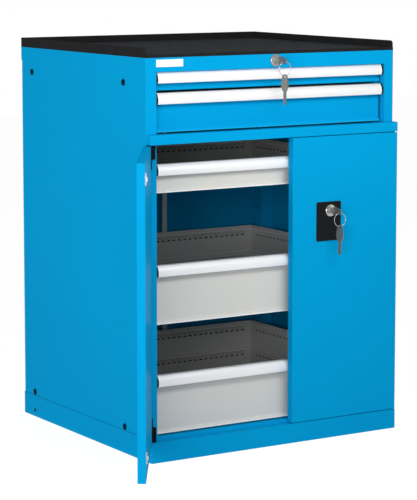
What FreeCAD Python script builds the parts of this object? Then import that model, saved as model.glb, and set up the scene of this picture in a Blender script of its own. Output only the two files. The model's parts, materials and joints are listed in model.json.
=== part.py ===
"""Machine cabinet with two drawers above a pair of swing doors and three drawers behind them.

Millimetres, +Z up, front towards -Y. The pieces are modelled from the front plane of the body (y = 0) and
saved from the middle of the footprint, on the floor. The left door is modelled closed and saved open.
"""
import FreeCAD
import Part
import os

V = FreeCAD.Vector

# Body
WIDTH = 725.0
BODY_DEPTH = 645.5
DOOR_PROJECTION = 22.4
PANEL_STEP = 4.0
PANEL_DEPTH = BODY_DEPTH - PANEL_STEP
BASE_HEIGHT = 56.5
PLINTH_HEIGHT = 49.0
COVER_BOTTOM = 936.3
COVER_HEIGHT = 33.7
COVER_TOP = COVER_BOTTOM + COVER_HEIGHT
SHEET = 1.5
BEND = 2.5
RETURN = 20.0
POST_WIDTH = 28.3
POST_RETURN = 17.0
BASE_FLANGE = 25.0
CROSS_MEMBER = 80.0

# Top tray and mat
RIM_ABOVE_COVER = 24.0
TRAY_RIM_TOP = COVER_TOP + RIM_ABOVE_COVER
TRAY_RIM = 3.0
TRAY_FLOOR = 2.0
TRAY_FRONT_HEIGHT = 8.0
TRAY_CORNER = 9.0
MAT_THICKNESS = 5.0

# Rail above the doors
FRAME_RAIL_HEIGHT = 23.4
FRAME_RAIL_DROP = 2.5

# Doors
DOOR_GAP_BELOW = 2.0
DOOR_GAP_ABOVE = 2.1
DOOR_SHEET = 1.2
DOOR_THICKNESS = 19.0
DOOR_EDGE_X = 361.5
RIGHT_DOOR_EDGE = 42.0
DOOR_GAP = 3.0
DOOR_BEND = 2.0
LEFT_OPEN_DEG = 122.4
INNER_PANEL_GAP = 0.3

# Hinges
PIVOT_INSET = 3.5
PIVOT_FORWARD = 7.5
PIN_RADIUS = 2.0
PIN_CLEARANCE = 0.05
PIN_LENGTH = 16.0
HINGE_WIDTH = 18.0
HINGE_NARROW = 8.4
HINGE_WIDE_HEIGHT = 35.0
HINGE_NARROW_HEIGHT = 24.0
HINGE_REACH = 4.5
HINGE_NOTCH_GAP = 3.0
HINGE_PLATE = 3.0
HINGE_GAP = 0.3

# Door lock
LOCK_X = 153.6
LOCK_DROP = 185.7
PLATE_LEFT = 112.5
PLATE_RIGHT = 185.5
PLATE_BELOW_LOCK = 75.8
PLATE_ABOVE_LOCK = 22.2
PLATE_THICKNESS = 2.0
PLATE_CORNER = 4.0
CASE_WIDTH = 46.0
CASE_BELOW = 38.0
CASE_ABOVE = 20.0
CASE_WALL = 2.0
CASE_BEHIND_DOOR = 12.0
PINION_RADIUS = 8.0
PINION_LENGTH = 5.0
ROD_WIDTH = 8.0
ROD_THICKNESS = 3.0
ROD_GAP = 0.3
ROD_OVERLAP = 16.0
ROD_HOLE_GAP = 0.6

# Lock cylinders and keys
BEZEL_RADIUS = 15.0
BEZEL_HEIGHT = 3.5
BARREL_RADIUS = 11.0
BARREL_GAP = 0.2
CORE_RADIUS = 6.5
CORE_CLEARANCE = 0.05
CORE_LENGTH = 36.0
CORE_PROUD = 0.5
KEYWAY_GAP = 0.25
KEY_BOW = 42.0
KEY_BLADE = 34.0
KEY_TOP_HALF = 7.0
KEY_WIDE_HALF = 9.8
KEY_BLADE_HALF = 4.0
KEY_TIP = 6.0
KEY_BLADE_OVERLAP = 1.0
KEY_BOW_THICKNESS = 3.6
KEY_WIDEST_AT = 0.62
KEY_SIDE_SWELL = 0.6
KEY_BLADE_THICKNESS = 2.0
KEY_HOLE_RADIUS = 3.0
KEY_HOLE_INSET = 5.5
KEY_SHOULDER_GAP = 0.4
KEY_RING_RADIUS = 17.0
KEY_WIRE_RADIUS = 0.8
KEY_WIRE_GAP = 0.3
SPARE_KEY_TURN = 20.0

# Upper lock and locking bar
TOP_LOCK_X = 4.0
TOP_LOCK_RAISE = 18.2
TOP_LOCK_Z = COVER_BOTTOM + TOP_LOCK_RAISE
SHAFT_RADIUS = 4.0
SHAFT_CLEARANCE = 0.05
CRANK_THROW = 10.0
CRANK_PIN_RADIUS = 2.5
CRANK_THICKNESS = 4.0
CRANK_SWING = 2.1
BAR_LEFT = 42.0
BAR_RIGHT = 56.0
BAR_TO_PANEL = 34.0
BAR_FRONT = PANEL_DEPTH - SHEET - BAR_TO_PANEL
BAR_THICKNESS = 3.0
BAR_BOTTOM = 75.0
BAR_HEAD_HEIGHT = 14.0
BAR_HEAD_LEFT = -4.0
BAR_SLOT_GAP = 0.4
GUIDE_HEIGHT = 20.0
GUIDE_GAP = 0.4
GUIDE_WALL = 2.0
GUIDE_LOW = 240.0
GUIDE_HIGH = 780.0
FINGER_RADIUS = 3.0
FINGER_LENGTH = 12.0
FINGER_REACH = 18.0
FINGER_Y = BAR_FRONT - FINGER_REACH
FINGER_GAP = 2.0
BEARING_TO_BAR = 16.0
BEARING_Y = BAR_FRONT - BEARING_TO_BAR
BEARING_THICKNESS = 3.0
BEARING_HALF = 12.0
BEARING_ARM_DROP = 6.0

# Drawers, from the top
FRONT_HEIGHTS = [44.0, 94.0, 69.0, 144.0, 144.0]
FRONT_TO_COVER = 0.8
FRONT_GAP = 6.0
THIRD_FRONT_DROP = 50.1
FOURTH_FRONT_RAISE = 267.5
FIFTH_FRONT_RAISE = 4.0
FRONT_HALF = 333.0
FRONT_Y = 22.0
FRONT_SHEET = 1.5
FRONT_SIDE_RETURN = 12.0
FRONT_RETURN_DEPTH = 4.5
LIP_FOLD = 2.25
LIP_HEIGHT = 9.0
LIP_REACH = 5.5
TRAY_HALF = 311.0
TRAY_SHEET = 1.5
TRAY_TO_PANEL = 66.0
TRAY_BACK = PANEL_DEPTH - TRAY_TO_PANEL
TRAY_RAISE = 4.0
TRAY_BELOW_FRONT = 10.0
RIM_WIDTH = 4.5
RIM_HEIGHT = 6.0
TAB_DEPTH = 24.5
TAB_HEIGHT = 10.0
TAB_SLOT_BEFORE = 4.5
TAB_SLOT_BEHIND = 8.0
TAB_SLOT_HALF = 4.5

# Handles
HANDLE_HEIGHT = 26.4
HANDLE_WALL = 1.8
HANDLE_TOP_Y = 9.0
HANDLE_BULGE_Y = 1.0
HANDLE_BULGE_DROP = 16.0
HANDLE_BOTTOM_Y = 3.2
HANDLE_FOOT_DROP = 22.8
END_CAP = 4.8

# Runners
UPRIGHT_INNER = 324.0
UPRIGHT_DEPTH = 30.0
UPRIGHT_FRONT_Y = 30.0
UPRIGHT_TO_PANEL = 96.5
UPRIGHT_REAR_Y = PANEL_DEPTH - UPRIGHT_TO_PANEL
NOTCH_PITCH = 25.0
NOTCH_WIDTH = 12.0
NOTCH_HEIGHT = 5.0
RAIL_FRONT = 28.0
RAIL_BEHIND = 0.5
RAIL_BACK = TRAY_BACK - RAIL_BEHIND
RAIL_HALF_HEIGHT = 13.5
RAIL_SHEET = 2.0
RAIL_REACH = 8.0
RAIL_SIDE_GAP = 0.5
RAIL_RUN_GAP = 0.4
MIDDLE_LENGTH = 500.0
RUNNER_RISE = 12.0

# Small parts
PLUG_RADIUS = 8.5
PLUG_HOLE_RADIUS = 7.0
PLUG_HEAD = 1.6
PLUG_DEPTH = 6.0
PLUG_FRONT = 107.7
PLUG_TO_BACK = 62.5
PLUG_DROP = 28.8
PLUG_RAISE = 9.5
SIDE_HOLE_Y = 21.4
SIDE_HOLE_DROP = 33.6
SIDE_HOLE_RADIUS = 4.0
BASE_HOLE_TO_BACK = 61.5
BASE_HOLE_Z = 17.0
BASE_HOLE_RADIUS = 3.0
LABEL_LEFT = -334.5
LABEL_RIGHT = -260.5
LABEL_RAISE = 11.7
LABEL_HEIGHT = 17.5
LABEL_THICKNESS = 0.8
CATCH_WIDTH = 14.0
CATCH_HEIGHT = 27.0
CATCH_THICKNESS = 5.5
CATCH_INSET = 4.0
CATCH_FROM_TOP = 22.0
CATCH_FROM_BOTTOM = 44.0

HALF = WIDTH / 2
FIRST_FRONT_LOW = COVER_BOTTOM - FRONT_TO_COVER - FRONT_HEIGHTS[0]
SECOND_FRONT_LOW = FIRST_FRONT_LOW - FRONT_GAP - FRONT_HEIGHTS[1]
FRAME_RAIL_TOP = SECOND_FRONT_LOW - FRAME_RAIL_DROP
FRAME_RAIL_BOTTOM = FRAME_RAIL_TOP - FRAME_RAIL_HEIGHT
DOOR_TOP = FRAME_RAIL_BOTTOM - DOOR_GAP_ABOVE
DOOR_BOTTOM = PLINTH_HEIGHT + DOOR_GAP_BELOW
LOCK_Z = DOOR_TOP - LOCK_DROP
PLATE_BOTTOM = LOCK_Z - PLATE_BELOW_LOCK
PLATE_TOP = LOCK_Z + PLATE_ABOVE_LOCK
THIRD_FRONT_LOW = FRAME_RAIL_BOTTOM - THIRD_FRONT_DROP - FRONT_HEIGHTS[2]
FIFTH_FRONT_LOW = BASE_HEIGHT + FIFTH_FRONT_RAISE
FOURTH_FRONT_LOW = FIFTH_FRONT_LOW + FOURTH_FRONT_RAISE
FRONT_LOWS = [FIRST_FRONT_LOW, SECOND_FRONT_LOW, THIRD_FRONT_LOW, FOURTH_FRONT_LOW, FIFTH_FRONT_LOW]
DRAWER_FRONTS = [(low, low + height) for low, height in zip(FRONT_LOWS, FRONT_HEIGHTS)]
ORIGIN_Y = (BODY_DEPTH - DOOR_PROJECTION) / 2
PIVOT_X = DOOR_EDGE_X - PIVOT_INSET
PIVOT_Y = -PIVOT_FORWARD
DOOR_FRONT = -DOOR_PROJECTION
DOOR_BACK = DOOR_FRONT + DOOR_THICKNESS
LEFT_DOOR_EDGE = RIGHT_DOOR_EDGE - DOOR_GAP
CORE_BORE = CORE_RADIUS + CORE_CLEARANCE
SHAFT_BORE = SHAFT_RADIUS + SHAFT_CLEARANCE
PLATE_FACE = DOOR_FRONT - PLATE_THICKNESS
DOOR_CORE_FACE = PLATE_FACE - BEZEL_HEIGHT - CORE_PROUD
TOP_CORE_FACE = -BEZEL_HEIGHT - CORE_PROUD
PINION_FRONT = DOOR_BACK - DOOR_SHEET - INNER_PANEL_GAP - PINION_LENGTH - CASE_WALL
ROD_FRONT = PINION_FRONT + (PINION_LENGTH - ROD_THICKNESS) / 2


def box(x0, x1, y0, y1, z0, z1):
    return Part.makeBox(x1 - x0, y1 - y0, z1 - z0, V(x0, y0, z0))


def rod_y(x, z, radius, y0, y1):
    return Part.makeCylinder(radius, y1 - y0, V(x, y0, z), V(0, 1, 0))


def rod_z(x, y, radius, z0, z1):
    return Part.makeCylinder(radius, z1 - z0, V(x, y, z0), V(0, 0, 1))


def rod_x(y, z, radius, x0, x1):
    return Part.makeCylinder(radius, x1 - x0, V(x0, y, z), V(1, 0, 0))


def join(first, *others):
    return first.fuse(list(others)).removeSplitter()


def mirrored(shape):
    return shape.mirror(V(0, 0, 0), V(1, 0, 0))


def upright_edges(shape, x, y):
    """Edges of the shape that stand on the point (x, y)."""
    found = []
    for edge in shape.Edges:
        ends = [vertex.Point for vertex in edge.Vertexes]
        if len(ends) == 2 and all(abs(p.x - x) < 0.01 and abs(p.y - y) < 0.01 for p in ends):
            found.append(edge)
    return found


def rounded_upright(shape, places, radius):
    edges = []
    for x, y in places:
        edges += upright_edges(shape, x, y)
    return shape.makeFillet(radius, edges)


def save(name, shapes, turn=0.0):
    """Writes one node, turned about the left door's pivot where it belongs to that door."""
    shape = shapes if isinstance(shapes, Part.Shape) else Part.makeCompound(shapes)
    shape = shape.copy()
    if turn:
        shape.rotate(V(-PIVOT_X, PIVOT_Y, 0), V(0, 0, 1), turn)
    shape.translate(V(0, -ORIGIN_Y, 0))
    assert shape.isValid(), name
    shape.exportStep("parts/" + name + ".step")


def base_plinth():
    inner = HALF - SHEET
    lower = BASE_HEIGHT - SHEET
    ledge = PLINTH_HEIGHT - SHEET
    outer = box(-HALF, HALF, 0, BODY_DEPTH, 0, BASE_HEIGHT)
    hollow = box(-inner, inner, -SHEET, BODY_DEPTH - SHEET, SHEET, lower)
    toe = box(-HALF, HALF, DOOR_FRONT, SHEET, 0, PLINTH_HEIGHT)
    toe_hollow = box(-inner, inner, DOOR_FRONT + SHEET, SHEET * 2, SHEET, ledge)
    riser = box(-HALF, HALF, 0, SHEET, ledge, BASE_HEIGHT)
    floor_cut = box(-HALF + BASE_FLANGE, HALF - BASE_FLANGE, DOOR_FRONT + BASE_FLANGE,
                    BODY_DEPTH - BASE_FLANGE, -SHEET, SHEET)
    shell = join(outer.cut(hollow), toe).cut(toe_hollow)
    shell = join(shell, riser).cut(floor_cut)
    middle = ORIGIN_Y
    cross_outer = box(-inner, inner, middle - CROSS_MEMBER / 2, middle + CROSS_MEMBER / 2, 0, lower)
    cross_hollow = box(-HALF, HALF, middle - CROSS_MEMBER / 2 + SHEET, middle + CROSS_MEMBER / 2 - SHEET,
                       SHEET, BASE_HEIGHT)
    shell = join(shell, cross_outer.cut(cross_hollow))
    shell = shell.cut(rod_x(BODY_DEPTH - BASE_HOLE_TO_BACK, BASE_HOLE_Z, BASE_HOLE_RADIUS,
                            -HALF - SHEET, HALF + SHEET))
    shell = shell.cut(rod_hole(lower_rod_x(), ledge - SHEET, PLINTH_HEIGHT + SHEET))
    corners = [(-HALF, DOOR_FRONT), (HALF, DOOR_FRONT), (-HALF, BODY_DEPTH), (HALF, BODY_DEPTH)]
    return rounded_upright(shell, corners, BEND)


def plug_places():
    """Where each side has a plug: near its front and rear ends, high and low."""
    return [(y, z) for y in (PLUG_FRONT, BODY_DEPTH - PLUG_TO_BACK)
            for z in (COVER_BOTTOM - PLUG_DROP, BASE_HEIGHT + PLUG_RAISE)]


def left_side_panel():
    top = COVER_BOTTOM
    bottom = BASE_HEIGHT
    inside = -HALF + SHEET
    post_edge = -HALF + POST_WIDTH
    back_flange = PANEL_DEPTH - SHEET
    sheet = box(-HALF, inside, 0, PANEL_DEPTH, bottom, top)
    post = box(-HALF, post_edge, 0, SHEET, bottom, top)
    fold = box(post_edge - SHEET, post_edge, 0, POST_RETURN, bottom, top)
    rear = box(-HALF, -HALF + RETURN, back_flange, PANEL_DEPTH, bottom, top)
    shelf_end = back_flange - SHEET
    upper = box(-HALF, -HALF + RETURN, POST_RETURN, shelf_end, top - SHEET, top)
    lower = box(-HALF, -HALF + RETURN, POST_RETURN, shelf_end, bottom, bottom + SHEET)
    panel = join(sheet, post, fold, rear, upper, lower)
    for y, z in plug_places():
        panel = panel.cut(rod_x(y, z, PLUG_HOLE_RADIUS, -HALF - SHEET, inside + SHEET))
    panel = panel.cut(rod_x(SIDE_HOLE_Y, FRAME_RAIL_BOTTOM - SIDE_HOLE_DROP, SIDE_HOLE_RADIUS,
                            -HALF - SHEET, inside + SHEET))
    return rounded_upright(panel, [(-HALF, 0), (-HALF, PANEL_DEPTH)], BEND)


def guide(z):
    """A bracket on the back panel with a closed loop round the locking bar."""
    left = BAR_LEFT - GUIDE_GAP - GUIDE_WALL
    right = BAR_RIGHT + GUIDE_GAP + GUIDE_WALL
    front = BAR_FRONT - GUIDE_GAP - GUIDE_WALL
    back = BAR_FRONT + BAR_THICKNESS + GUIDE_GAP
    loop = box(left, right, front, PANEL_DEPTH - SHEET, z, z + GUIDE_HEIGHT)
    channel = box(BAR_LEFT - GUIDE_GAP, BAR_RIGHT + GUIDE_GAP, BAR_FRONT - GUIDE_GAP, back,
                  z - SHEET, z + GUIDE_HEIGHT + SHEET)
    space = box(left + GUIDE_WALL, right - GUIDE_WALL, back + GUIDE_WALL, PANEL_DEPTH,
                z - SHEET, z + GUIDE_HEIGHT + SHEET)
    return loop.cut(channel).cut(space)


def back_panel():
    rear = PANEL_DEPTH - SHEET
    sheet = box(-HALF + SHEET, HALF - SHEET, rear - SHEET, rear, BASE_HEIGHT, COVER_BOTTOM)
    arm_top = COVER_BOTTOM - BEARING_ARM_DROP
    arm = box(TOP_LOCK_X - BEARING_HALF, TOP_LOCK_X + BEARING_HALF, BEARING_Y, rear,
              arm_top - BEARING_THICKNESS, arm_top)
    ear = box(TOP_LOCK_X - BEARING_HALF, TOP_LOCK_X + BEARING_HALF, BEARING_Y, BEARING_Y + BEARING_THICKNESS,
              arm_top - BEARING_THICKNESS, TOP_LOCK_Z + BEARING_HALF)
    panel = join(sheet, arm, ear, guide(GUIDE_LOW), guide(GUIDE_HIGH))
    return panel.cut(rod_y(TOP_LOCK_X, TOP_LOCK_Z, SHAFT_BORE, BEARING_Y - SHEET, rear))


def top_cover():
    outer = box(-HALF, HALF, 0, BODY_DEPTH, COVER_BOTTOM, COVER_TOP)
    hollow = box(-HALF + SHEET, HALF - SHEET, SHEET, BODY_DEPTH - SHEET,
                 COVER_BOTTOM + SHEET, COVER_TOP - SHEET)
    mouth = box(-HALF + RETURN, HALF - RETURN, POST_RETURN, BODY_DEPTH - RETURN,
                COVER_BOTTOM - SHEET, COVER_BOTTOM + SHEET * 2)
    cover = outer.cut(hollow).cut(mouth)
    cover = cover.cut(rod_y(TOP_LOCK_X, TOP_LOCK_Z, BARREL_RADIUS + BARREL_GAP, -SHEET, SHEET * 2))
    corners = [(-HALF, 0), (HALF, 0), (-HALF, BODY_DEPTH), (HALF, BODY_DEPTH)]
    return rounded_upright(cover, corners, BEND)


def top_tray():
    outer = box(-HALF, HALF, 0, BODY_DEPTH, COVER_TOP, TRAY_RIM_TOP)
    corners = [(-HALF, 0), (HALF, 0), (-HALF, BODY_DEPTH), (HALF, BODY_DEPTH)]
    outer = rounded_upright(outer, corners, BEND)
    inner = box(-HALF + TRAY_RIM, HALF - TRAY_RIM, TRAY_RIM, BODY_DEPTH - TRAY_RIM,
                COVER_TOP + TRAY_FLOOR, TRAY_RIM_TOP + TRAY_RIM)
    front = box(-HALF - TRAY_RIM, HALF + TRAY_RIM, -TRAY_RIM, TRAY_RIM + TRAY_CORNER,
                COVER_TOP + TRAY_FRONT_HEIGHT, TRAY_RIM_TOP + TRAY_RIM)
    axis_y = TRAY_RIM + TRAY_CORNER
    axis_z = TRAY_RIM_TOP - TRAY_CORNER
    keep = rod_x(axis_y, axis_z, TRAY_CORNER, -HALF - TRAY_RIM, HALF + TRAY_RIM)
    keep = keep.fuse(box(-HALF - TRAY_RIM, HALF + TRAY_RIM, TRAY_RIM, axis_y, COVER_TOP, axis_z))
    return outer.cut(inner).cut(front.cut(keep))


def top_mat():
    side = HALF - TRAY_RIM - BARREL_GAP
    low = COVER_TOP + TRAY_FLOOR
    return box(-side, side, TRAY_RIM + BARREL_GAP, BODY_DEPTH - TRAY_RIM - BARREL_GAP,
               low, low + MAT_THICKNESS)


def door_frame_rail():
    outer = box(-HALF, HALF, DOOR_FRONT, 0, FRAME_RAIL_BOTTOM, FRAME_RAIL_TOP)
    hollow = box(-HALF + SHEET, HALF - SHEET, DOOR_FRONT + SHEET, SHEET, FRAME_RAIL_BOTTOM + SHEET,
                 FRAME_RAIL_TOP - SHEET)
    rail = outer.cut(hollow)
    rail = rail.cut(rod_hole(upper_rod_x(), FRAME_RAIL_BOTTOM - SHEET, FRAME_RAIL_BOTTOM + SHEET * 2))
    return rounded_upright(rail, [(-HALF, DOOR_FRONT), (HALF, DOOR_FRONT)], BEND)


def upper_rod_x():
    return LOCK_X + PINION_RADIUS + ROD_GAP


def lower_rod_x():
    return LOCK_X - PINION_RADIUS - ROD_GAP - ROD_WIDTH


def rod_hole(x, z0, z1):
    return box(x - ROD_HOLE_GAP, x + ROD_WIDTH + ROD_HOLE_GAP, ROD_FRONT - ROD_HOLE_GAP,
               ROD_FRONT + ROD_THICKNESS + ROD_HOLE_GAP, z0, z1)


def hinge_profile(bottom, flip):
    """The fixed half of a left hinge: a stepped block on the post, with its pin."""
    outer = -PIVOT_X - PIVOT_INSET + HINGE_GAP * 2
    front = PIVOT_Y - HINGE_REACH
    wide_end = outer + HINGE_WIDTH
    narrow_end = outer + HINGE_NARROW
    middle = bottom + HINGE_WIDE_HEIGHT
    top = middle + HINGE_NARROW_HEIGHT
    wide = box(outer, wide_end, front, 0, bottom, middle)
    narrow = box(outer, narrow_end, front, 0, middle - HINGE_GAP, top)
    block = rounded_upright(join(wide, narrow), [(wide_end, front), (narrow_end, front)], BEND)
    pin = rod_z(-PIVOT_X, PIVOT_Y, PIN_RADIUS, top - HINGE_GAP, top + PIN_LENGTH)
    block = join(block, pin)
    if flip:
        centre = (FRAME_RAIL_BOTTOM + PLINTH_HEIGHT) / 2
        block = block.mirror(V(0, 0, centre), V(0, 0, 1))
    return block


def hinge_blocks():
    low = hinge_profile(PLINTH_HEIGHT, False)
    high = hinge_profile(PLINTH_HEIGHT, True)
    return [low, high, mirrored(low), mirrored(high)]


def upright(y):
    """One notched channel with its web facing the drawers."""
    bottom = BASE_HEIGHT + SHEET
    top = COVER_BOTTOM - SHEET
    outer = HALF - SHEET
    web = box(UPRIGHT_INNER, UPRIGHT_INNER + SHEET, y, y + UPRIGHT_DEPTH, bottom, top)
    centre = y + UPRIGHT_DEPTH / 2
    cuts = []
    z = bottom + NOTCH_PITCH
    while z < top - NOTCH_PITCH:
        cuts.append(box(UPRIGHT_INNER - SHEET, UPRIGHT_INNER + SHEET * 2, centre - NOTCH_WIDTH / 2,
                        centre + NOTCH_WIDTH / 2, z, z + NOTCH_HEIGHT))
        z += NOTCH_PITCH
    web = web.cut(cuts)
    near = box(UPRIGHT_INNER, outer, y, y + SHEET, bottom, top)
    far = box(UPRIGHT_INNER, outer, y + UPRIGHT_DEPTH - SHEET, y + UPRIGHT_DEPTH, bottom, top)
    return join(web, near, far)


def slotted_uprights():
    right = [upright(UPRIGHT_FRONT_Y), upright(UPRIGHT_REAR_Y)]
    return right + [mirrored(shape) for shape in right]


def channel(inner, outer, half_height, y0, y1, z):
    """A C-shaped runner that opens towards the drawer."""
    web = box(outer - RAIL_SHEET, outer, y0, y1, z - half_height, z + half_height)
    upper = box(inner, outer, y0, y1, z + half_height - RAIL_SHEET, z + half_height)
    lower = box(inner, outer, y0, y1, z - half_height, z - half_height + RAIL_SHEET)
    return join(web, upper, lower)


def runner_z(low):
    return low + TRAY_RAISE + RUNNER_RISE


def middle_half_height():
    return RAIL_HALF_HEIGHT - RAIL_SHEET - RAIL_RUN_GAP


def cabinet_rails():
    rails = []
    for low, high in DRAWER_FRONTS:
        rail = channel(UPRIGHT_INNER - RAIL_REACH, UPRIGHT_INNER, RAIL_HALF_HEIGHT, RAIL_FRONT, RAIL_BACK,
                       runner_z(low))
        rails += [rail, mirrored(rail)]
    return rails


def middle_rails(low):
    outer = UPRIGHT_INNER - RAIL_SHEET - RAIL_SIDE_GAP
    rail = channel(TRAY_HALF + RAIL_SIDE_GAP, outer, middle_half_height(), RAIL_FRONT,
                   RAIL_FRONT + MIDDLE_LENGTH, runner_z(low))
    return [rail, mirrored(rail)]


def drawer_runner(low):
    outer = UPRIGHT_INNER - (RAIL_SHEET + RAIL_SIDE_GAP) * 2
    half = middle_half_height() - RAIL_SHEET - RAIL_RUN_GAP
    return channel(TRAY_HALF, outer, half, RAIL_FRONT, RAIL_BACK - TRAY_SHEET, runner_z(low))


def drawer_tray(low, high):
    bottom = low + TRAY_RAISE
    top = high - TRAY_BELOW_FRONT
    front = FRONT_Y + FRONT_SHEET
    outer = box(-TRAY_HALF, TRAY_HALF, front, TRAY_BACK, bottom, top)
    inside = TRAY_HALF - TRAY_SHEET
    rim_y = FRONT_SIDE_RETURN + front
    rim = box(-inside - RIM_WIDTH, inside + RIM_WIDTH, rim_y, TRAY_BACK, top - RIM_HEIGHT, top)
    hollow = box(-inside, inside, front + TRAY_SHEET, TRAY_BACK - TRAY_SHEET,
                 bottom + TRAY_SHEET, top + SHEET)
    runner = drawer_runner(low)
    centre = (BAR_LEFT + BAR_RIGHT) / 2
    tab_z = bottom + TAB_HEIGHT
    tab = box(BAR_LEFT, BAR_RIGHT + SHEET, TRAY_BACK, TRAY_BACK + TAB_DEPTH, tab_z, tab_z + RAIL_SHEET)
    slot = box(centre - TAB_SLOT_HALF, centre + TAB_SLOT_HALF, FINGER_Y - TAB_SLOT_BEFORE,
               FINGER_Y + TAB_SLOT_BEHIND, tab_z - SHEET, tab_z + RAIL_SHEET + SHEET)
    tray = join(outer, rim, runner, mirrored(runner), tab)
    return tray.cut(hollow).cut(slot)


def extruded(points_face, x0, x1):
    return points_face.extrude(V(x1 - x0, 0, 0))


def drawer_front(low, high):
    """Front sheet with a lip that flares at the bottom, and side returns."""
    back = FRONT_Y + FRONT_SHEET
    knee = low + LIP_HEIGHT
    lip_y = FRONT_Y - LIP_REACH
    points = [(FRONT_Y, high), (FRONT_Y, knee), (lip_y, low), (back, low), (back, low + FRONT_SHEET),
              (lip_y + LIP_FOLD, low + FRONT_SHEET), (back, knee), (back, high), (FRONT_Y, high)]
    wire = Part.makePolygon([V(-FRONT_HALF, y, z) for y, z in points])
    front = extruded(Part.Face(wire), -FRONT_HALF, FRONT_HALF)
    side = box(FRONT_HALF - FRONT_SHEET, FRONT_HALF, FRONT_Y, FRONT_Y + FRONT_RETURN_DEPTH, knee, high)
    return join(front, side, mirrored(side))


def handle_front_arc(x, top, inset):
    """The curved face of the handle, at its outer side or one wall further in."""
    start = V(x, HANDLE_TOP_Y + inset, top - inset)
    bulge = V(x, HANDLE_BULGE_Y + inset, top - HANDLE_BULGE_DROP)
    end = V(x, HANDLE_BOTTOM_Y + inset, top - HANDLE_HEIGHT)
    return Part.Arc(start, bulge, end).toShape(), start, end


def line(a, b):
    return Part.makeLine(a, b)


def drawer_handle(high):
    x = -FRONT_HALF + END_CAP
    top = high
    outer_arc, outer_start, outer_end = handle_front_arc(x, top, 0)
    inner_arc, inner_start, inner_end = handle_front_arc(x, top, HANDLE_WALL)
    web_back = V(x, FRONT_Y, top)
    web_inner = V(x, FRONT_Y - HANDLE_WALL, top - HANDLE_WALL)
    foot_inner = V(x, FRONT_Y - HANDLE_WALL, top - HANDLE_FOOT_DROP)
    foot_back = V(x, FRONT_Y, top - HANDLE_FOOT_DROP)
    edges = [line(web_back, outer_start), outer_arc, line(outer_end, inner_end), inner_arc,
             line(inner_start, web_inner), line(web_inner, foot_inner), line(foot_inner, foot_back),
             line(foot_back, web_back)]
    face = Part.Face(Part.Wire(Part.__sortEdges__(edges)))
    return extruded(face, x, -x)


def end_caps(high):
    x = -FRONT_HALF
    outer_arc, start, end = handle_front_arc(x, high, 0)
    back_top = V(x, FRONT_Y, high)
    back_bottom = V(x, FRONT_Y, high - HANDLE_HEIGHT)
    edges = [line(back_top, start), outer_arc, line(end, back_bottom), line(back_bottom, back_top)]
    face = Part.Face(Part.Wire(Part.__sortEdges__(edges)))
    cap = extruded(face, x, x + END_CAP)
    return [cap, mirrored(cap)]


def low_hinge_top():
    return PLINTH_HEIGHT + HINGE_WIDE_HEIGHT + HINGE_NARROW_HEIGHT + HINGE_GAP


def high_hinge_bottom():
    return FRAME_RAIL_BOTTOM - HINGE_WIDE_HEIGHT - HINGE_NARROW_HEIGHT - HINGE_GAP


def hinge_notches(edge_x):
    """The room that a door leaves for its two hinge blocks, at the side edge_x < 0."""
    far = -PIVOT_X - PIVOT_INSET + HINGE_WIDTH + HINGE_NOTCH_GAP
    near = edge_x - SHEET
    back = DOOR_BACK + SHEET
    front = DOOR_FRONT + DOOR_SHEET
    low = box(near, far, front, back, DOOR_BOTTOM - SHEET, low_hinge_top())
    high = box(near, far, front, back, high_hinge_bottom(), DOOR_TOP + SHEET)
    return [low, high]


def door_skin(edge_x, free_x):
    """Outer pan of a door that is hinged at edge_x < 0 and ends at free_x."""
    outer = box(edge_x, free_x, DOOR_FRONT, DOOR_BACK, DOOR_BOTTOM, DOOR_TOP)
    outer = rounded_upright(outer, [(edge_x, DOOR_FRONT), (free_x, DOOR_FRONT)], DOOR_BEND)
    hollow = box(edge_x + DOOR_SHEET, free_x - DOOR_SHEET, DOOR_FRONT + DOOR_SHEET, DOOR_BACK + SHEET,
                 DOOR_BOTTOM + DOOR_SHEET, DOOR_TOP - DOOR_SHEET)
    return outer.cut(hollow).cut(hinge_notches(edge_x))


def door_inner(edge_x, free_x):
    """Inner sheet that closes the back of a door."""
    gap = DOOR_SHEET + INNER_PANEL_GAP
    sheet = box(edge_x + gap, free_x - gap, DOOR_BACK - DOOR_SHEET, DOOR_BACK,
                DOOR_BOTTOM + gap, DOOR_TOP - gap)
    return sheet.cut(hinge_notches(edge_x))


def door_hinges(edge_x):
    """Plates in the door that turn on the pins, one above the low block and one below the high one."""
    low_top = low_hinge_top()
    high_bottom = high_hinge_bottom()
    left = edge_x + DOOR_SHEET
    right = left + HINGE_WIDTH
    front = DOOR_FRONT + DOOR_SHEET
    back = DOOR_BACK - DOOR_SHEET
    plates = []
    for z0, z1 in ((low_top, low_top + HINGE_PLATE), (high_bottom - HINGE_PLATE, high_bottom)):
        plate = box(left, right, front, back, z0, z1)
        plates.append(plate.cut(rod_z(-PIVOT_X, PIVOT_Y, PIN_RADIUS + PIN_CLEARANCE, z0 - SHEET, z1 + SHEET)))
    return plates


def left_door_catches():
    """Two catch blocks on the inner sheet, near the free edge."""
    right = LEFT_DOOR_EDGE - CATCH_INSET
    catches = []
    for z in (DOOR_TOP - CATCH_FROM_TOP - CATCH_HEIGHT, DOOR_BOTTOM + CATCH_FROM_BOTTOM):
        foot = box(right - CATCH_WIDTH, right, DOOR_BACK, DOOR_BACK + CATCH_THICKNESS / 2,
                   z, z + CATCH_HEIGHT)
        nose = box(right - CATCH_WIDTH, right, DOOR_BACK + CATCH_THICKNESS / 2, DOOR_BACK + CATCH_THICKNESS,
                   z + CATCH_HEIGHT / 3, z + CATCH_HEIGHT * 2 / 3)
        catches.append(join(foot, nose))
    return catches


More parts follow.
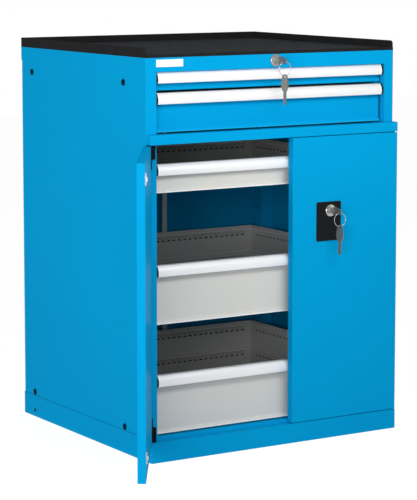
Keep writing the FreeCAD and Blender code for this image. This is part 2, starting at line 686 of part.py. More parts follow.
def right_door_cuts():
    bore = rod_y(LOCK_X, LOCK_Z, BARREL_RADIUS + BARREL_GAP, DOOR_FRONT - SHEET, DOOR_FRONT + SHEET * 2)
    case_hole = box(LOCK_X - CASE_WIDTH / 2 - BARREL_GAP, LOCK_X + CASE_WIDTH / 2 + BARREL_GAP,
                    DOOR_BACK - SHEET * 2, DOOR_BACK + SHEET,
                    LOCK_Z - CASE_BELOW - BARREL_GAP, LOCK_Z + CASE_ABOVE + BARREL_GAP)
    upper = rod_hole(upper_rod_x(), DOOR_TOP - SHEET * 2, DOOR_TOP + SHEET)
    lower = rod_hole(lower_rod_x(), DOOR_BOTTOM - SHEET, DOOR_BOTTOM + SHEET * 2)
    return bore, case_hole, upper, lower


def door_lock_plate():
    plate = box(PLATE_LEFT, PLATE_RIGHT, PLATE_FACE, DOOR_FRONT, PLATE_BOTTOM, PLATE_TOP)
    edges = [edge for edge in plate.Edges if edge.Vertexes[0].Point.x == edge.Vertexes[1].Point.x
             and edge.Vertexes[0].Point.z == edge.Vertexes[1].Point.z]
    plate = plate.makeFillet(PLATE_CORNER, edges)
    return plate.cut(rod_y(LOCK_X, LOCK_Z, BARREL_RADIUS + BARREL_GAP,
                           PLATE_FACE - SHEET, DOOR_FRONT + SHEET))


def barrel(x, z, seat, back):
    """Bezel and barrel of a lock cylinder whose bezel sits on the plane y = seat."""
    bezel = rod_y(x, z, BEZEL_RADIUS, seat - BEZEL_HEIGHT, seat)
    rim = [edge for edge in bezel.Edges if abs(edge.BoundBox.YMax - seat + BEZEL_HEIGHT) < 0.01]
    bezel = bezel.makeChamfer(BEZEL_HEIGHT / 3, rim)
    tube = rod_y(x, z, BARREL_RADIUS, seat - BEZEL_HEIGHT / 2, back)
    return join(bezel, tube).cut(rod_y(x, z, CORE_BORE, seat - BEZEL_HEIGHT - SHEET, back + SHEET))


def door_lock_case():
    """Barrel in front, and the case behind it that guides both rods."""
    front = PINION_FRONT - ROD_GAP - CASE_WALL
    back = DOOR_BACK + CASE_BEHIND_DOOR
    bottom = LOCK_Z - CASE_BELOW
    top = LOCK_Z + CASE_ABOVE
    case = box(LOCK_X - CASE_WIDTH / 2, LOCK_X + CASE_WIDTH / 2, front, back, bottom, top)
    chamber_back = PINION_FRONT + PINION_LENGTH + ROD_GAP
    hollow = box(LOCK_X - CASE_WIDTH / 2 + CASE_WALL, LOCK_X + CASE_WIDTH / 2 - CASE_WALL, front + CASE_WALL,
                 chamber_back, bottom + CASE_WALL, top - CASE_WALL)
    case = case.cut(hollow)
    case = case.cut(rod_hole(upper_rod_x(), LOCK_Z, top + CASE_WALL))
    case = case.cut(rod_hole(lower_rod_x(), bottom - CASE_WALL, LOCK_Z))
    case = case.cut(rod_y(LOCK_X, LOCK_Z, CORE_BORE, front - SHEET, DOOR_CORE_FACE + CORE_LENGTH + ROD_GAP))
    return join(barrel(LOCK_X, LOCK_Z, PLATE_FACE, front), case)


def lock_core(x, z, face):
    """Turning core with its keyway."""
    core = rod_y(x, z, CORE_RADIUS, face, face + CORE_LENGTH)
    half = KEY_BLADE_THICKNESS / 2 + KEYWAY_GAP
    tall = KEY_BLADE_HALF + KEYWAY_GAP
    return core.cut(box(x - half, x + half, face - SHEET, face + KEY_BLADE + KEYWAY_GAP * 2,
                        z - tall, z + tall))


def door_lock_core():
    pinion = rod_y(LOCK_X, LOCK_Z, PINION_RADIUS, PINION_FRONT, PINION_FRONT + PINION_LENGTH)
    half = KEY_BLADE_THICKNESS / 2 + KEYWAY_GAP
    tall = KEY_BLADE_HALF + KEYWAY_GAP
    slot = box(LOCK_X - half, LOCK_X + half, PINION_FRONT - SHEET, PINION_FRONT + PINION_LENGTH + SHEET,
               LOCK_Z - tall, LOCK_Z + tall)
    return join(lock_core(LOCK_X, LOCK_Z, DOOR_CORE_FACE), pinion.cut(slot))


def flat_key():
    """A key that hangs down from the origin, in the XZ plane."""
    widest = -KEY_BOW * KEY_WIDEST_AT
    shoulder = -KEY_BOW
    tip = shoulder - KEY_BLADE
    left = [V(-KEY_TOP_HALF, 0, -KEY_TOP_HALF), V(-KEY_WIDE_HALF, 0, widest), V(-KEY_BLADE_HALF, 0, shoulder)]
    right = [V(-p.x, 0, p.z) for p in left]
    swell = V(KEY_SIDE_SWELL, 0, 0)
    side = Part.BSplineCurve()
    side.interpolate([left[0], (left[0] + left[1]) / 2 - swell, left[1], left[2]])
    other = Part.BSplineCurve()
    other.interpolate([right[0], (right[0] + right[1]) / 2 + swell, right[1], right[2]])
    crown = Part.Arc(left[0], V(0, 0, 0), right[0]).toShape()
    foot = Part.makeLine(left[2], right[2])
    outline = Part.Wire(Part.__sortEdges__([crown, side.toShape(), other.toShape(), foot]))
    bow = Part.Face(outline).extrude(V(0, KEY_BOW_THICKNESS, 0))
    bow.translate(V(0, -KEY_BOW_THICKNESS / 2, 0))
    points = [(-KEY_BLADE_HALF, shoulder + KEY_BLADE_OVERLAP), (-KEY_BLADE_HALF, tip + KEY_TIP), (0, tip),
              (KEY_BLADE_HALF, tip + KEY_TIP), (KEY_BLADE_HALF, shoulder + KEY_BLADE_OVERLAP),
              (-KEY_BLADE_HALF, shoulder + KEY_BLADE_OVERLAP)]
    blade = Part.Face(Part.makePolygon([V(x, 0, z) for x, z in points])).extrude(V(0, KEY_BLADE_THICKNESS, 0))
    blade.translate(V(0, -KEY_BLADE_THICKNESS / 2, 0))
    key = join(bow, blade)
    return key.cut(rod_y(0, -KEY_HOLE_INSET, KEY_HOLE_RADIUS, -KEY_BOW_THICKNESS, KEY_BOW_THICKNESS))


def inserted_key(x, z, face):
    key = flat_key()
    key.rotate(V(0, 0, 0), V(0, 0, 1), 90)
    key.rotate(V(0, 0, 0), V(1, 0, 0), 90)
    key.translate(V(x, face - KEY_SHOULDER_GAP - KEY_BOW, z))
    return key


def ring_centre(z, face):
    """Centre line of the key ring that hangs in the bow of an inserted key."""
    drop = KEY_HOLE_RADIUS - KEY_WIRE_RADIUS - KEY_WIRE_GAP
    return face - KEY_SHOULDER_GAP - KEY_BOW + KEY_HOLE_INSET, z - drop - KEY_RING_RADIUS


def key_ring(x, z, face):
    y, centre_z = ring_centre(z, face)
    return Part.makeTorus(KEY_RING_RADIUS, KEY_WIRE_RADIUS, V(x, y, centre_z), V(0, 1, 0))


def spare_key(x, z, face):
    y, centre_z = ring_centre(z, face)
    drop = KEY_HOLE_RADIUS - KEY_WIRE_RADIUS - KEY_WIRE_GAP
    key = flat_key()
    key.rotate(V(0, 0, 0), V(0, 0, 1), 90 + SPARE_KEY_TURN)
    key.translate(V(x, y, centre_z - KEY_RING_RADIUS - drop + KEY_HOLE_INSET))
    return key


def upper_lock_rod():
    x = upper_rod_x()
    return box(x, x + ROD_WIDTH, ROD_FRONT, ROD_FRONT + ROD_THICKNESS,
               LOCK_Z - ROD_OVERLAP, DOOR_TOP - HINGE_GAP)


def lower_lock_rod():
    x = lower_rod_x()
    return box(x, x + ROD_WIDTH, ROD_FRONT, ROD_FRONT + ROD_THICKNESS, DOOR_BOTTOM + HINGE_GAP,
               LOCK_Z + ROD_OVERLAP)


def top_lock_shaft():
    """Shaft from the core to the rear bearing, with a crank and its pin."""
    start = TOP_CORE_FACE + CORE_LENGTH
    crank = BEARING_Y + BEARING_THICKNESS + HINGE_GAP
    shaft = rod_y(TOP_LOCK_X, TOP_LOCK_Z, SHAFT_RADIUS, start, crank + CRANK_THICKNESS)
    arm = box(TOP_LOCK_X, TOP_LOCK_X + CRANK_THROW, crank, crank + CRANK_THICKNESS,
              TOP_LOCK_Z - SHAFT_RADIUS, TOP_LOCK_Z + SHAFT_RADIUS)
    end = rod_y(TOP_LOCK_X + CRANK_THROW, TOP_LOCK_Z, SHAFT_RADIUS, crank, crank + CRANK_THICKNESS)
    pin = rod_y(TOP_LOCK_X + CRANK_THROW, TOP_LOCK_Z, CRANK_PIN_RADIUS, crank,
                BAR_FRONT + BAR_THICKNESS + SHEET)
    return join(shaft, arm, end, pin)


def locking_bar():
    """Vertical bar with a slotted head over the crank pin and one finger over each drawer's tab."""
    head_bottom = TOP_LOCK_Z - BAR_HEAD_HEIGHT / 2 - CRANK_SWING
    head_top = TOP_LOCK_Z + BAR_HEAD_HEIGHT / 2
    back = BAR_FRONT + BAR_THICKNESS
    bar = box(BAR_LEFT, BAR_RIGHT, BAR_FRONT, back, BAR_BOTTOM, head_top)
    head = box(BAR_HEAD_LEFT, BAR_RIGHT, BAR_FRONT, back, head_bottom, head_top)
    reach = CRANK_PIN_RADIUS + BAR_SLOT_GAP
    slot = box(TOP_LOCK_X - reach, TOP_LOCK_X + CRANK_THROW + reach, BAR_FRONT - SHEET, back + SHEET,
               TOP_LOCK_Z - reach - CRANK_SWING, TOP_LOCK_Z + reach)
    bar = join(bar, head).cut(slot)
    centre = (BAR_LEFT + BAR_RIGHT) / 2
    fingers = []
    for low, high in DRAWER_FRONTS:
        tip = low + TRAY_RAISE + TAB_HEIGHT + RAIL_SHEET + FINGER_GAP
        root = tip + FINGER_LENGTH
        fingers.append(rod_z(centre, FINGER_Y, FINGER_RADIUS, tip, root))
        fingers.append(box(centre - FINGER_RADIUS, centre + FINGER_RADIUS, FINGER_Y - FINGER_RADIUS, BAR_FRONT + SHEET,
                           root - SHEET, root + SHEET))
    return join(bar, *fingers)


def side_plugs():
    plugs = []
    for y, z in plug_places():
        stem = rod_x(y, z, PLUG_HOLE_RADIUS - BARREL_GAP, -HALF - SHEET / 2, -HALF + PLUG_DEPTH)
        head = rod_x(y, z, PLUG_RADIUS, -HALF - PLUG_HEAD, -HALF)
        rim = [edge for edge in head.Edges if edge.BoundBox.XMax < -HALF - PLUG_HEAD + 0.01]
        plug = join(head.makeChamfer(PLUG_HEAD / 2, rim), stem)
        plugs += [plug, mirrored(plug)]
    return plugs


def label_plate():
    bottom = COVER_BOTTOM + LABEL_RAISE
    return box(LABEL_LEFT, LABEL_RIGHT, -LABEL_THICKNESS, 0, bottom, bottom + LABEL_HEIGHT)


def main():
    os.makedirs("parts", exist_ok=True)
    panel = left_side_panel()
    save("base_plinth", base_plinth())
    save("left_side_panel", panel)
    save("right_side_panel", mirrored(panel))
    save("back_panel", back_panel())
    save("top_cover", top_cover())
    save("top_tray", top_tray())
    save("top_mat", top_mat())
    save("door_frame_rail", door_frame_rail())
    save("hinge_blocks", hinge_blocks())
    save("slotted_uprights", slotted_uprights())
    save("cabinet_rails", cabinet_rails())
    save("side_plugs", side_plugs())
    save("label_plate", label_plate())

    left_edge = -DOOR_EDGE_X
    save("left_door_skin", door_skin(left_edge, LEFT_DOOR_EDGE), -LEFT_OPEN_DEG)
    save("left_door_inner", door_inner(left_edge, LEFT_DOOR_EDGE), -LEFT_OPEN_DEG)
    save("left_door_hinges", door_hinges(left_edge), -LEFT_OPEN_DEG)
    save("left_door_catches", left_door_catches(), -LEFT_OPEN_DEG)

    bore, case_hole, upper_hole, lower_hole = right_door_cuts()
    skin = mirrored(door_skin(left_edge, -RIGHT_DOOR_EDGE)).cut([bore, upper_hole, lower_hole])
    save("right_door_skin", skin)
    save("right_door_inner", mirrored(door_inner(left_edge, -RIGHT_DOOR_EDGE)).cut(case_hole))
    save("right_door_hinges", [mirrored(plate) for plate in door_hinges(left_edge)])
    save("door_lock_plate", door_lock_plate())
    save("door_lock_case", door_lock_case())
    save("door_lock_core", door_lock_core())
    save("door_key", inserted_key(LOCK_X, LOCK_Z, DOOR_CORE_FACE))
    save("door_key_ring", key_ring(LOCK_X, LOCK_Z, DOOR_CORE_FACE))
    save("door_spare_key", spare_key(LOCK_X, LOCK_Z, DOOR_CORE_FACE))
    save("upper_lock_rod", upper_lock_rod())
    save("lower_lock_rod", lower_lock_rod())

    save("top_lock_case", barrel(TOP_LOCK_X, TOP_LOCK_Z, 0, TOP_CORE_FACE + CORE_LENGTH - SHEET))
    save("top_lock_core", lock_core(TOP_LOCK_X, TOP_LOCK_Z, TOP_CORE_FACE))
    save("top_key", inserted_key(TOP_LOCK_X, TOP_LOCK_Z, TOP_CORE_FACE))
    save("top_key_ring", key_ring(TOP_LOCK_X, TOP_LOCK_Z, TOP_CORE_FACE))
    save("top_spare_key", spare_key(TOP_LOCK_X, TOP_LOCK_Z, TOP_CORE_FACE))
    save("top_lock_shaft", top_lock_shaft())
    save("locking_bar", locking_bar())

    for number, (low, high) in enumerate(DRAWER_FRONTS, 1):
        name = "drawer_%d_" % number
        save(name + "tray", drawer_tray(low, high))
        save(name + "front", drawer_front(low, high))
        save(name + "handle", drawer_handle(high))
        save(name + "end_caps", end_caps(high))
        save(name + "middle_rails", middle_rails(low))


main()
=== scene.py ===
"""Looks of the machine cabinet: finishes, small details, light and camera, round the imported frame."""
import bpy
import bmesh
import json
import math
from mathutils import Matrix, Vector

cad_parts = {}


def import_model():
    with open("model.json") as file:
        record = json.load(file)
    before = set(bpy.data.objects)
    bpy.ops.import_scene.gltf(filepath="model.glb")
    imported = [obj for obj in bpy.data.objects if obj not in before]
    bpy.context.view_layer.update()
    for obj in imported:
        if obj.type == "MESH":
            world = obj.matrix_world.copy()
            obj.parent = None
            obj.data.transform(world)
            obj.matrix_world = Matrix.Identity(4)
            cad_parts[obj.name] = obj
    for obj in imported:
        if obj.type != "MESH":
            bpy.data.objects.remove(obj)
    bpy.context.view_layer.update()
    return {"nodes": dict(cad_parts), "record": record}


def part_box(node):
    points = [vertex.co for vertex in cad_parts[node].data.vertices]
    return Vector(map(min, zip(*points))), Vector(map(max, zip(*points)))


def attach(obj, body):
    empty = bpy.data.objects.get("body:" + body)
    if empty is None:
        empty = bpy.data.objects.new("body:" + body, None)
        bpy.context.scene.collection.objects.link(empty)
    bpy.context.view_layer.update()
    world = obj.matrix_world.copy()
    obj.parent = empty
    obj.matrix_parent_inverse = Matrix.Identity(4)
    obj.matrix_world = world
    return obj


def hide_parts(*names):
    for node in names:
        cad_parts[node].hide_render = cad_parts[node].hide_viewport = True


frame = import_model()
NODES = frame["nodes"]

# Camera, fitted to the straight edges of the photograph, in metres, degrees and millimetres
CAMERA_PLACE = (-2.8626, -4.5927, 1.2408)
CAMERA_YAW = 31.9844
CAMERA_PITCH = 6.7028
CAMERA_LENS = 151.844
CAMERA_SHIFT_Y = -0.12
SENSOR = 36.0

# Colours of the finishes, linear
BLUE = (0.0012, 0.335, 0.665)
DRAWER_GREY = (0.655, 0.65, 0.615)
TRAY_GREY = (0.56, 0.56, 0.54)
# Lighter grey of the tray beads: a painted highlight
BEAD_HIGHLIGHT_GREY = (0.72, 0.72, 0.70)
# Dark blue of the strips along the side seams: painted shade
SEAM_SHADE_BLUE = (0.001, 0.13, 0.30)
# Lighter blue and grey of the front hems: painted highlights
HEM_HIGHLIGHT_BLUE = (0.01, 0.45, 0.80)
HEM_HIGHLIGHT_GREY = (0.92, 0.92, 0.90)
RIM_BLACK = (0.016, 0.0165, 0.0175)
BLACK = (0.010, 0.0105, 0.0115)
RUBBER = (0.025, 0.0275, 0.031)
ALUMINIUM = (0.90, 0.90, 0.90)
ZINC = (0.42, 0.43, 0.44)
GALVANISED = (0.80, 0.79, 0.76)
NICKEL = (0.50, 0.49, 0.47)
KEY_METAL = (0.20, 0.19, 0.17)
LABEL = (0.86, 0.87, 0.88)
# Near-black of the discs in the base's holes: painted shade
HOLE_SHADE_COLOUR = (0.003, 0.015, 0.03)

# Textures of the finishes. A noise is used between its low and its high value. Scales are in features
# per metre, heights in metres. A sheen is how far the roughness goes below and above its value, and a
# tone how far the colour goes to either side, as a share of it.
NOISE_LOW = 0.3
NOISE_HIGH = 0.7
PAINT_SPECULAR = 0.008
PAINT_SHEEN_SCALE = 9
PAINT_SHEEN = (0.04, 0.05)
PAINT_TONE_SCALE = 3
PAINT_TONE = 0.02
PAINT_PEEL_SCALE = 700
PAINT_PEEL = 0.25
PAINT_PEEL_HEIGHT = 0.0002
PLASTIC_SHEEN_SCALE = 60
PLASTIC_SHEEN = (0.06, 0.08)
PLASTIC_TONE_SCALE = 25
PLASTIC_TONE = 0.08
PLASTIC_GRAIN_SCALE = 2500
METAL_SHEEN = (0.05, 0.1)
METAL_TONE_SCALE = 40
METAL_LINE_SCALE = 900
FINE_GRAIN_HEIGHT = 0.0001

# Light of the sky, and the floor: what it throws back, and what the camera sees of it, which is
# its own glow and a share of the light with the shadow in it
SKY_STRENGTH = 0.30
FLOOR_HALF = 9.0
FLOOR_BOUNCE = 0.6
FLOOR_GLOW = 0.91
FLOOR_SHADOW = 0.22

# Drawers by number, from the top
DRAWERS = (1, 2, 3, 4, 5)
HEMMED_DRAWERS = (2, 3, 4, 5)
BLUE_DRAWERS = (1, 2)
SHALLOW_DRAWER = 1
DEEP_DRAWERS = (4, 5)

# Inner faces of the tray walls, in metres. All trays are alike in plan: rails stand out of their sides,
# and a tab stands out behind.
TRAY_LOW, TRAY_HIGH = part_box("drawer_1_tray")
WALL = 0.0015
RAIL_REACH = 0.008
TAB_DEPTH = 0.0245
TRAY_INSIDE = TRAY_HIGH[0] - RAIL_REACH - WALL
TRAY_FRONT = TRAY_LOW[1] + WALL
TRAY_REAR = TRAY_HIGH[1] - TAB_DEPTH - WALL

# Bands of slots and slits in the tray walls, beads in a paint lighter than the tray as a painted highlight,
# and dark strips of painted shade behind the slots, in metres
SLOT_PITCH = 0.017
SLOT_LENGTH = 0.010
SLOT_HEIGHT = 0.0035
SLOT_DROP = 0.0265
SLOT_DROP_SHALLOW = 0.014
SLOT_MARGIN = 0.0125
SLIT_WIDTH = 0.0015
SLIT_HEIGHT = 0.0085
SLITS_PER_SLOT = 4
SLIT_RAISE = 0.0055
BEAD_DROPS = (0.0015, 0.0105)
BEAD_HEIGHT = 0.0015
BEAD_DEPTH = 0.0022
SHADE_STRIP_GAP = 0.0016
SHADE_STRIP_THICK = 0.0006
SHADE_STRIP_TOP = 0.003
SECOND_BAND = 0.070
MERGE_DISTANCE = 1e-6

# Hems at the lower edge of the drawer fronts, in metres
HEM_HEIGHT = 0.0024
HEM_DEPTH = 0.0006
HEM_INSET = 0.001

# Rounded edges of the folded sheets, in metres and degrees
EDGE_ROUND = 0.0012
EDGE_SEGMENTS = 2
EDGE_ANGLE = 35
SHEETS = ("base_plinth", "left_side_panel", "right_side_panel", "back_panel", "top_cover",
          "door_frame_rail", "right_door_skin", "left_door_skin")

# Seams and round discs on the outside of the sides, both dark as painted shade, in metres, and the number
# of a disc's facets
SIDE_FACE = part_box("right_side_panel")[1][0]
SEAM_HEIGHT = 0.0014
SEAM_PROUD = 0.0003
BASE_HOLE_TO_BACK = 0.0615
BASE_HOLE_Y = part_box("base_plinth")[1][1] - BASE_HOLE_TO_BACK
BASE_HOLE_Z = 0.017
HOLE_SHADE_RADIUS = 0.0045
HOLE_SHADE_DEPTH = 0.0014
HOLE_SHADE_FACETS = 24


def linked(tree, a, b):
    tree.links.new(a, b)


def new_material(name, colour, roughness, metallic=0.0, specular=0.5):
    """A principled material and its tree, before its detail is added."""
    mat = bpy.data.materials.new(name)
    mat.use_nodes = True
    tree = mat.node_tree
    shader = tree.nodes["Principled BSDF"]
    shader.inputs["Base Color"].default_value = (*colour, 1)
    shader.inputs["Roughness"].default_value = roughness
    shader.inputs["Metallic"].default_value = metallic
    shader.inputs["Specular IOR Level"].default_value = specular
    return mat, tree, shader


def noise(tree, scale, detail=2.0, rough=0.5, stretch=(1, 1, 1)):
    """Noise over the piece's own coordinates, at so many features per metre."""
    coord = tree.nodes.new("ShaderNodeTexCoord")
    mapping = tree.nodes.new("ShaderNodeMapping")
    mapping.inputs["Scale"].default_value = stretch
    tex = tree.nodes.new("ShaderNodeTexNoise")
    tex.inputs["Scale"].default_value = scale
    tex.inputs["Detail"].default_value = detail
    tex.inputs["Roughness"].default_value = rough
    linked(tree, coord.outputs["Object"], mapping.inputs["Vector"])
    linked(tree, mapping.outputs["Vector"], tex.inputs["Vector"])
    return tex.outputs["Fac"]


def ranged(tree, value, low, high):
    """The middle of a noise, stretched to run from low to high."""
    node = tree.nodes.new("ShaderNodeMapRange")
    node.inputs["From Min"].default_value = NOISE_LOW
    node.inputs["From Max"].default_value = NOISE_HIGH
    node.inputs["To Min"].default_value = low
    node.inputs["To Max"].default_value = high
    linked(tree, value, node.inputs["Value"])
    return node.outputs["Result"]


def sheen(tree, shader, value, roughness, spread):
    """Roughness that goes below and above its value with a noise."""
    below, above = spread
    linked(tree, ranged(tree, value, roughness - below, roughness + above), shader.inputs["Roughness"])


def tint(tree, shader, colour, scale, spread):
    """Mixes a slightly darker and a slightly lighter tone of the base colour."""
    mix = tree.nodes.new("ShaderNodeMix")
    mix.data_type = "RGBA"
    mix.inputs["A"].default_value = (*[c * (1 - spread) for c in colour], 1)
    mix.inputs["B"].default_value = (*[min(1.0, c * (1 + spread)) for c in colour], 1)
    linked(tree, ranged(tree, noise(tree, scale), 0, 1), mix.inputs["Factor"])
    linked(tree, mix.outputs["Result"], shader.inputs["Base Color"])


def bump(tree, shader, height, strength, distance):
    """Bumps the surface by a texture, up to that distance in metres."""
    node = tree.nodes.new("ShaderNodeBump")
    node.inputs["Strength"].default_value = strength
    node.inputs["Distance"].default_value = distance
    linked(tree, height, node.inputs["Height"])
    linked(tree, node.outputs["Normal"], shader.inputs["Normal"])


def paint(name, colour, roughness=0.45):
    """Powder coat: faint orange peel, and gloss that varies a little."""
    mat, tree, shader = new_material(name, colour, roughness, specular=PAINT_SPECULAR)
    sheen(tree, shader, noise(tree, PAINT_SHEEN_SCALE), roughness, PAINT_SHEEN)
    tint(tree, shader, colour, PAINT_TONE_SCALE, PAINT_TONE)
    bump(tree, shader, noise(tree, PAINT_PEEL_SCALE, detail=1), PAINT_PEEL, PAINT_PEEL_HEIGHT)
    return mat


def plastic(name, colour, roughness=0.5, grain=0.2, specular=0.06):
    """Moulded plastic or rubber with a fine grain."""
    mat, tree, shader = new_material(name, colour, roughness, specular=specular)
    sheen(tree, shader, noise(tree, PLASTIC_SHEEN_SCALE), roughness, PLASTIC_SHEEN)
    tint(tree, shader, colour, PLASTIC_TONE_SCALE, PLASTIC_TONE)
    bump(tree, shader, noise(tree, PLASTIC_GRAIN_SCALE), grain, FINE_GRAIN_HEIGHT)
    return mat


def metal(name, colour, roughness, stretch=(1, 1, 1), grain=0.05, metallic=1.0, spread=0.05):
    """Metal with fine lines along the axis that stretch holds small."""
    mat, tree, shader = new_material(name, colour, roughness, metallic)
    lines = noise(tree, METAL_LINE_SCALE, detail=3, rough=0.6, stretch=stretch)
    sheen(tree, shader, lines, roughness, METAL_SHEEN)
    tint(tree, shader, colour, METAL_TONE_SCALE, spread)
    bump(tree, shader, lines, grain, FINE_GRAIN_HEIGHT)
    return mat


MATERIALS = {
    "body_paint": paint("blue_powder_coat", BLUE),
    "drawer_paint": paint("light_grey_powder_coat", DRAWER_GREY),
    "tray_paint": paint("tray_powder_coat", TRAY_GREY, 0.5),
    # Painted shade along the side seams
    "seam_shade_blue": paint("seam_shade", SEAM_SHADE_BLUE),
    # Painted highlights on the front hems
    "hem_highlight_blue": paint("painted_highlight_blue_hem", HEM_HIGHLIGHT_BLUE),
    "hem_highlight_grey": paint("painted_highlight_grey_hem", HEM_HIGHLIGHT_GREY),
    # Painted highlight on the tray beads
    "bead_highlight_paint": paint("painted_highlight_bead", BEAD_HIGHLIGHT_GREY, 0.5),
    "black_rim": plastic("black_rim", RIM_BLACK, 0.5, specular=0.02),
    "mat_rubber": plastic("mat_rubber", RUBBER, 0.6, 0.5, 0.04),
    "handle_aluminium": metal("anodised_aluminium", ALUMINIUM, 0.5, (0.02, 1, 1), grain=0.02, metallic=0.3,
                              spread=0.01),
    "cap_plastic": plastic("cap_plastic", BLACK, 0.4),
    "hinge_black": paint("black_hinge_paint", BLACK, 0.4),
    "zinc_steel": metal("zinc_plate", ZINC, 0.42, (1, 0.05, 1)),
    "galvanised": metal("galvanised_steel", GALVANISED, 0.5, metallic=0.2),
    "nickel": metal("nickel_plate", NICKEL, 0.2, metallic=0.8),
    "key_metal": metal("key_metal", KEY_METAL, 0.35, metallic=0.55),
    "label_white": plastic("label_plate", LABEL, 0.4, 0.05),
    "lock_plastic": plastic("lock_plate_plastic", BLACK, 0.45, 0.3),
    # Painted shade in the base's holes
    "plug_plastic": plastic("plug_plastic", HOLE_SHADE_COLOUR, 0.5, specular=0.015),
}


def dress_cad():
    """Gives every node the material of its slot; the locking bar has a lighter zinc than the rest."""
    for part in frame["record"]["subparts"]:
        obj = NODES[part["node"]]
        obj.data.materials.clear()
        obj.data.materials.append(MATERIALS[part["material_slot"]])
    NODES["locking_bar"].data.materials[0] = MATERIALS["galvanised"]


def box_into(bm, low, high):
    """Adds one closed box to a bmesh."""
    corners = [bm.verts.new((x, y, z)) for z in (low[2], high[2]) for y in (low[1], high[1])
               for x in (low[0], high[0])]
    for face in ((0, 2, 3, 1), (4, 5, 7, 6), (0, 1, 5, 4), (2, 6, 7, 3), (0, 4, 6, 2), (1, 3, 7, 5)):
        bm.faces.new([corners[i] for i in face])


def new_object(name, bm):
    """An object in the scene from a bmesh."""
    mesh = bpy.data.meshes.new(name)
    bm.to_mesh(mesh)
    bm.free()
    obj = bpy.data.objects.new(name, mesh)
    bpy.context.scene.collection.objects.link(obj)
    return obj


def cut(source, cutter, name):
    """A copy of a node's mesh with the cutter taken out of it."""
    bm = bmesh.new()
    bm.from_mesh(source.data)
    bmesh.ops.remove_doubles(bm, verts=bm.verts, dist=MERGE_DISTANCE)
    piece = new_object(name, bm)
    modifier = piece.modifiers.new("cut", "BOOLEAN")
    modifier.operation = "DIFFERENCE"
    modifier.solver = "EXACT"
    modifier.object = cutter
    bpy.context.view_layer.update()
    result = bpy.data.meshes.new_from_object(piece.evaluated_get(bpy.context.evaluated_depsgraph_get()))
    piece.modifiers.clear()
    piece.data = result
    result.name = name
    bpy.data.objects.remove(cutter)
    return piece


def slot_row(bm, start, end, slit_height, place):
    """Boxes for the slots between two ends of one wall; place gives the box of a slot at that spot."""
    count = int((end - start) / SLOT_PITCH)
    first = (start + end) / 2 - SLOT_PITCH * (count - 1) / 2
    for i in range(count):
        spot = first + i * SLOT_PITCH
        box_into(bm, *place(spot, SLOT_LENGTH / 2, 0, SLOT_HEIGHT))
        for k in range(SLITS_PER_SLOT):
            shift = ((k + 0.5) / SLITS_PER_SLOT - 0.5) * SLOT_PITCH
            box_into(bm, *place(spot + shift, SLIT_WIDTH / 2, SLIT_RAISE, slit_height))


def slots_into(bm, z, slit_height):
    """Cutter boxes for one band of slots at that height, round the three inner walls."""
    for side in (-1, 1):
        near, far = sorted((side * (TRAY_INSIDE - WALL), side * (TRAY_INSIDE + WALL * 2)))
        slot_row(bm, TRAY_FRONT + SLOT_MARGIN, TRAY_REAR - SLOT_MARGIN, slit_height,
                 lambda y, half, up, tall: ((near, y - half, z + up), (far, y + half, z + up + tall)))
    slot_row(bm, -TRAY_INSIDE + SLOT_MARGIN, TRAY_INSIDE - SLOT_MARGIN, slit_height,
             lambda x, half, up, tall: ((x - half, TRAY_REAR - WALL, z + up),
                                        (x + half, TRAY_REAR + WALL * 2, z + up + tall)))


def strips_into(bm, inner, outer, low, high):
    """Three strips along the side and rear walls, between two distances from their inner faces."""
    for side in (-1, 1):
        a, b = sorted((side * (TRAY_INSIDE + inner), side * (TRAY_INSIDE + outer)))
        box_into(bm, (a, TRAY_FRONT, low), (b, TRAY_REAR, high))
    box_into(bm, (-TRAY_INSIDE, TRAY_REAR + inner, low), (TRAY_INSIDE, TRAY_REAR + outer, high))


def riding_piece(bm, name, body, material):
    """A new piece that moves with one body."""
    piece = new_object(name, bm)
    piece.data.materials.append(MATERIALS[material])
    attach(piece, body)


def levels(number):
    """Heights of the upper edges of a tray's slotted bands."""
    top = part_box("drawer_%d_tray" % number)[1][2]
    if number in DEEP_DRAWERS:
        return top, top - SECOND_BAND
    return (top,)


def tray(number):
    """A drawer's tray with bands of slots for dividers, rolled beads in a paint lighter than the tray as a
    painted highlight, and dark strips of painted shade behind the slots.
    """
    name = "drawer_%d_tray" % number
    body = "drawer_%d" % number
    shallow = number == SHALLOW_DRAWER
    drop = SLOT_DROP_SHALLOW if shallow else SLOT_DROP
    bead_drops = BEAD_DROPS[:1] if shallow else BEAD_DROPS
    slit_height = min(SLIT_HEIGHT, drop - SLIT_RAISE - SHADE_STRIP_TOP)
    gap = WALL + SHADE_STRIP_GAP
    slots = bmesh.new()
    beads = bmesh.new()
    shade_strips = bmesh.new()
    for level in levels(number):
        slots_into(slots, level - drop, slit_height)
        for bead in bead_drops:
            strips_into(beads, -BEAD_DEPTH, WALL / 2, level - bead, level - bead + BEAD_HEIGHT)
        strips_into(shade_strips, gap, gap + SHADE_STRIP_THICK, level - drop - SLOT_HEIGHT, level - SHADE_STRIP_TOP)
    piece = cut(NODES[name], new_object("cutter", slots), body + "_slotted_tray")
    piece.data.materials.clear()
    piece.data.materials.append(MATERIALS["tray_paint"])
    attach(piece, body)
    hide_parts(name)
    # Beads in the lighter paint, a painted highlight
    riding_piece(beads, body + "_wall_beads", body, "bead_highlight_paint")
    # Dark strips in the caps' black behind the slots: painted shade
    riding_piece(shade_strips, body + "_painted_slot_shade", body, "cap_plastic")


def front_hem(number):
    """The folded lower edge of a drawer front, in a paint lighter than the front: a painted highlight."""
    body = "drawer_%d" % number
    low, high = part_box(body + "_front")
    bm = bmesh.new()
    box_into(bm, (low[0] + HEM_INSET, low[1] - HEM_DEPTH, low[2]),
             (high[0] - HEM_INSET, low[1] + WALL, low[2] + HEM_HEIGHT))
    material, slot = ("hem_highlight_blue", "body_paint") if number in BLUE_DRAWERS else ("hem_highlight_grey", "drawer_paint")
    riding_piece(bm, body + "_front_hem", body, material)


